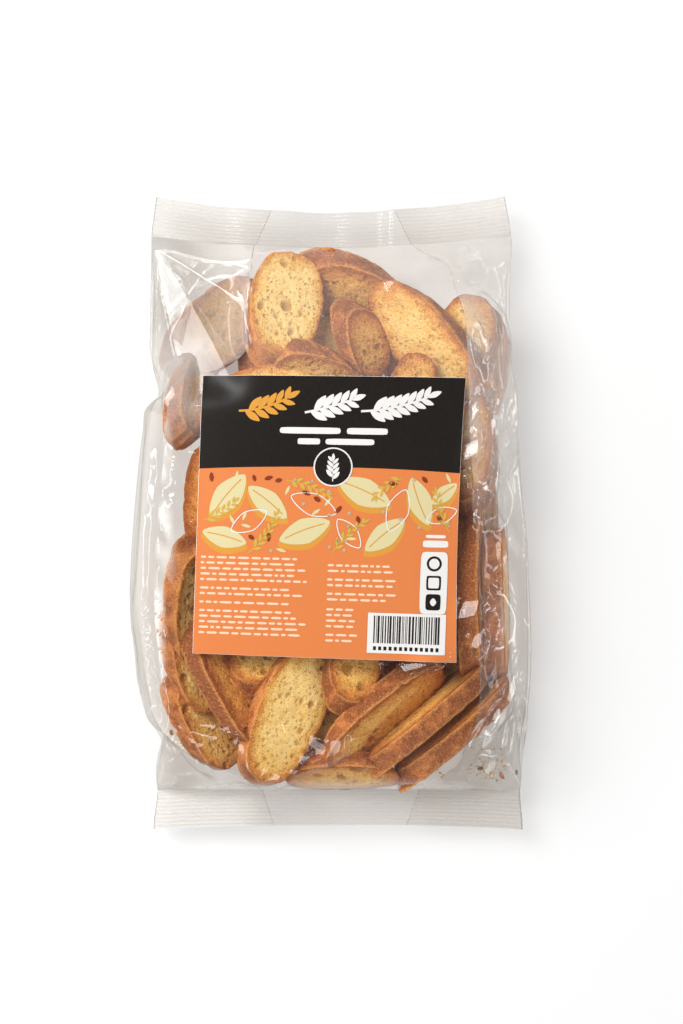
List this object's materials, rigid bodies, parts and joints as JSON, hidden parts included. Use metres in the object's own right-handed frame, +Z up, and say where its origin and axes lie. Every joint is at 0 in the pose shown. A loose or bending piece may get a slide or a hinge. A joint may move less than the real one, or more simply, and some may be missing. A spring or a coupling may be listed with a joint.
{
  "type": "sealed bag of toasted multigrain bread slices",
  "caption": "Clear film bag with ribbed end seals and a square paper label, filled with toasted slices of a thin multigrain loaf, lying on its back.",
  "frame": {"origin": "on the surface the bag lies on, under the middle of the bag's box", "axes": "+X to the bag's right as its label is read, +Y along the bag towards its top seal, +Z up out of the labelled front"},
  "size_m": [0.208, 0.325, 0.0515],
  "materials": {
    "film": "clear glossy polypropylene film, crinkled",
    "label_paper": "semi-gloss coated paper, printed in black and orange",
    "label_print": "semi-gloss printing ink",
    "toasted_crumb": "matte, open-pored toasted crumb",
    "toasted_crust": "matte toasted crust",
    "seeds": "satin whole seeds and crumbs"
  },
  "bodies": {
    "root": {"bag": "film", "label": "label_paper"}
  },
  "joints": []
}
